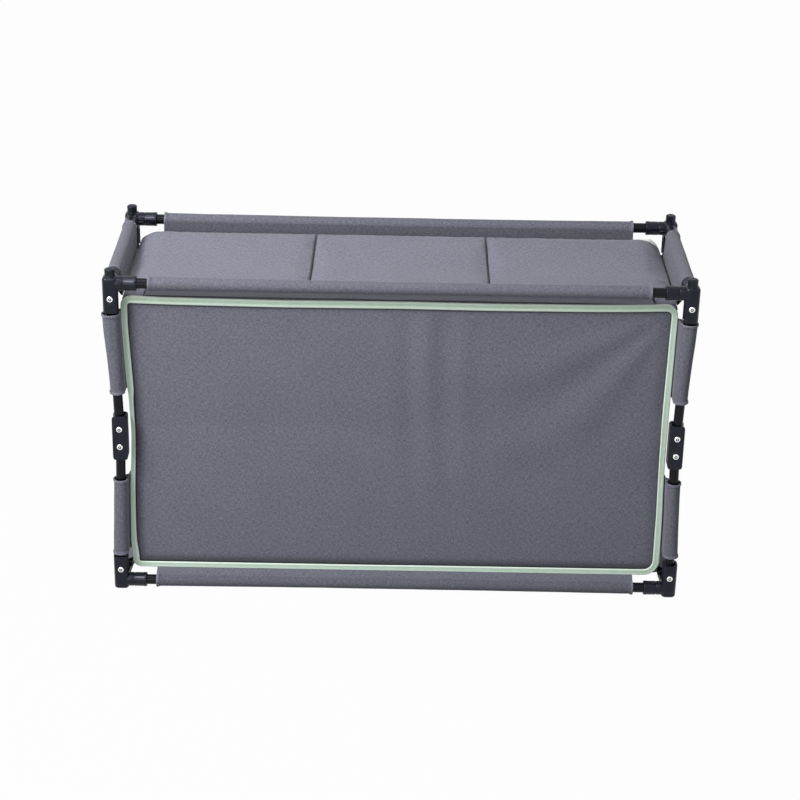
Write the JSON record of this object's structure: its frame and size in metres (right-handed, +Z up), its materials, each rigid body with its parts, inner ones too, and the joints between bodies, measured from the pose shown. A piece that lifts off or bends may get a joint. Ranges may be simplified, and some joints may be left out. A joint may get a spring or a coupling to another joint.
{
  "type": "folding fabric camp kitchen cupboard",
  "caption": "Folding camp kitchen cupboard: cloth box with padded top, inner shelf and open back, hung in a tube frame whose knee-hinged legs fold flat.",
  "frame": {"origin": "on the floor, under the middle of the frame", "axes": "+X along the width, to the right as seen from the plain face; +Y towards the open side; +Z up"},
  "size_m": [0.898, 0.3122, 0.5438],
  "materials": {
    "moulding": "black glass-filled nylon, fine satin",
    "tube": "gloss black powder coat",
    "rivet": "bright",
    "canvas": "grey coated polyester canvas",
    "binding": "pale mint woven tape",
    "board": "grey cloth over a stiff board"
  },
  "bodies": {
    "bottom_frame": {"bottom_corner_front_left": "moulding", "bottom_corner_front_right": "moulding", "bottom_corner_back_left": "moulding", "bottom_corner_back_right": "moulding", "bottom_pin_front_left": "rivet", "bottom_pin_front_right": "rivet", "bottom_pin_back_left": "rivet", "bottom_pin_back_right": "rivet", "bottom_rail_front": "tube", "bottom_rail_back": "tube", "bottom_rail_left": "tube", "bottom_rail_right": "tube", "base_cover": "canvas", "front_wall": "canvas", "back_facing": "canvas", "left_wall": "canvas", "right_wall": "canvas", "front_binding": "binding", "back_binding": "binding"},
    "lower_leg_front_left": {"lower_leg_front_left": "tube", "lower_sleeve_front_left": "canvas"},
    "lower_leg_front_right": {"lower_leg_front_right": "tube", "lower_sleeve_front_right": "canvas"},
    "lower_leg_back_left": {"lower_leg_back_left": "tube", "lower_sleeve_back_left": "canvas"},
    "lower_leg_back_right": {"lower_leg_back_right": "tube", "lower_sleeve_back_right": "canvas"},
    "knee_front_left": {"knee_link_front_left": "moulding"},
    "knee_front_right": {"knee_link_front_right": "moulding"},
    "knee_back_left": {"knee_link_back_left": "moulding"},
    "knee_back_right": {"knee_link_back_right": "moulding"},
    "upper_leg_front_left": {"upper_leg_front_left": "tube", "upper_sleeve_front_left": "canvas"},
    "upper_leg_front_right": {"upper_leg_front_right": "tube", "upper_sleeve_front_right": "canvas"},
    "upper_leg_back_left": {"upper_leg_back_left": "tube", "upper_sleeve_back_left": "canvas"},
    "upper_leg_back_right": {"upper_leg_back_right": "tube", "upper_sleeve_back_right": "canvas"},
    "top_frame": {"top_corner_front_left": "moulding", "top_corner_front_right": "moulding", "top_corner_back_left": "moulding", "top_corner_back_right": "moulding", "top_pin_front_left": "rivet", "top_pin_front_right": "rivet", "top_pin_back_left": "rivet", "top_pin_back_right": "rivet", "stacking_stud_front_left": "moulding", "stacking_stud_front_right": "moulding", "stacking_stud_back_left": "moulding", "stacking_stud_back_right": "moulding", "top_rail_front": "tube", "top_rail_back": "tube", "top_rail_left": "tube", "top_rail_right": "tube", "top_cover": "canvas", "top_board_left": "board", "top_board_middle": "board", "top_board_right": "board"},
    "shelf": {"shelf_panel": "board"}
  },
  "joints": [
    {"name": "fold", "type": "hinge", "parent": "bottom_frame", "child": "lower_leg_front_left", "pos_m": [-0.4375, -0.1435, 0.035], "axis": [0, 1, 0], "range_deg": [0, 81], "deforming": ["front_wall", "back_facing", "left_wall", "right_wall", "front_binding", "back_binding"]},
    {"name": "lower_leg_front_right_turn", "type": "hinge", "parent": "bottom_frame", "child": "lower_leg_front_right", "pos_m": [0.4375, -0.1435, 0.035], "axis": [0, -1, 0], "range_deg": [0, 81]},
    {"name": "lower_leg_back_left_turn", "type": "hinge", "parent": "bottom_frame", "child": "lower_leg_back_left", "pos_m": [-0.4375, 0.1435, 0.035], "axis": [0, 1, 0], "range_deg": [0, 81]},
    {"name": "lower_leg_back_right_turn", "type": "hinge", "parent": "bottom_frame", "child": "lower_leg_back_right", "pos_m": [0.4375, 0.1435, 0.035], "axis": [0, -1, 0], "range_deg": [0, 81]},
    {"name": "knee_front_left_turn", "type": "hinge", "parent": "lower_leg_front_left", "child": "knee_front_left", "pos_m": [-0.43145, -0.1435, 0.25142], "axis": [0, -1, 0], "range_deg": [0, 81]},
    {"name": "knee_front_right_turn", "type": "hinge", "parent": "lower_leg_front_right", "child": "knee_front_right", "pos_m": [0.43145, -0.1435, 0.25142], "axis": [0, 1, 0], "range_deg": [0, 81]},
    {"name": "knee_back_left_turn", "type": "hinge", "parent": "lower_leg_back_left", "child": "knee_back_left", "pos_m": [-0.43145, 0.1435, 0.25142], "axis": [0, -1, 0], "range_deg": [0, 81]},
    {"name": "knee_back_right_turn", "type": "hinge", "parent": "lower_leg_back_right", "child": "knee_back_right", "pos_m": [0.43145, 0.1435, 0.25142], "axis": [0, 1, 0], "range_deg": [0, 81]},
    {"name": "upper_leg_front_left_turn", "type": "hinge", "parent": "knee_front_left", "child": "upper_leg_front_left", "pos_m": [-0.43145, -0.1435, 0.28142], "axis": [0, -1, 0], "range_deg": [0, 81]},
    {"name": "upper_leg_front_right_turn", "type": "hinge", "parent": "knee_front_right", "child": "upper_leg_front_right", "pos_m": [0.43145, -0.1435, 0.28142], "axis": [0, 1, 0], "range_deg": [0, 81]},
    {"name": "upper_leg_back_left_turn", "type": "hinge", "parent": "knee_back_left", "child": "upper_leg_back_left", "pos_m": [-0.43145, 0.1435, 0.28142], "axis": [0, -1, 0], "range_deg": [0, 81]},
    {"name": "upper_leg_back_right_turn", "type": "hinge", "parent": "knee_back_right", "child": "upper_leg_back_right", "pos_m": [0.43145, 0.1435, 0.28142], "axis": [0, 1, 0], "range_deg": [0, 81]},
    {"name": "top_frame_level", "type": "hinge", "parent": "upper_leg_front_left", "child": "top_frame", "pos_m": [-0.4375, -0.1435, 0.49783], "axis": [0, 1, 0], "range_deg": [0, 81]},
    {"name": "shelf_drop", "type": "slide", "parent": "bottom_frame", "child": "shelf", "axis": [0, 0, -1], "range_m": [0, 0.2102]}
  ],
  "couplings": [
    {"joint": "lower_leg_front_right_turn", "follows": "fold", "ratio": 1},
    {"joint": "lower_leg_back_left_turn", "follows": "fold", "ratio": 1},
    {"joint": "lower_leg_back_right_turn", "follows": "fold", "ratio": 1},
    {"joint": "knee_front_left_turn", "follows": "fold", "ratio": 1},
    {"joint": "knee_front_right_turn", "follows": "fold", "ratio": 1},
    {"joint": "knee_back_left_turn", "follows": "fold", "ratio": 1},
    {"joint": "knee_back_right_turn", "follows": "fold", "ratio": 1},
    {"joint": "upper_leg_front_left_turn", "follows": "fold", "ratio": 1},
    {"joint": "upper_leg_front_right_turn", "follows": "fold", "ratio": 1},
    {"joint": "upper_leg_back_left_turn", "follows": "fold", "ratio": 1},
    {"joint": "upper_leg_back_right_turn", "follows": "fold", "ratio": 1},
    {"joint": "top_frame_level", "follows": "fold", "ratio": 1},
    {"joint": "shelf_drop", "follows": "fold", "m_per_rad": 0.1487}
  ]
}
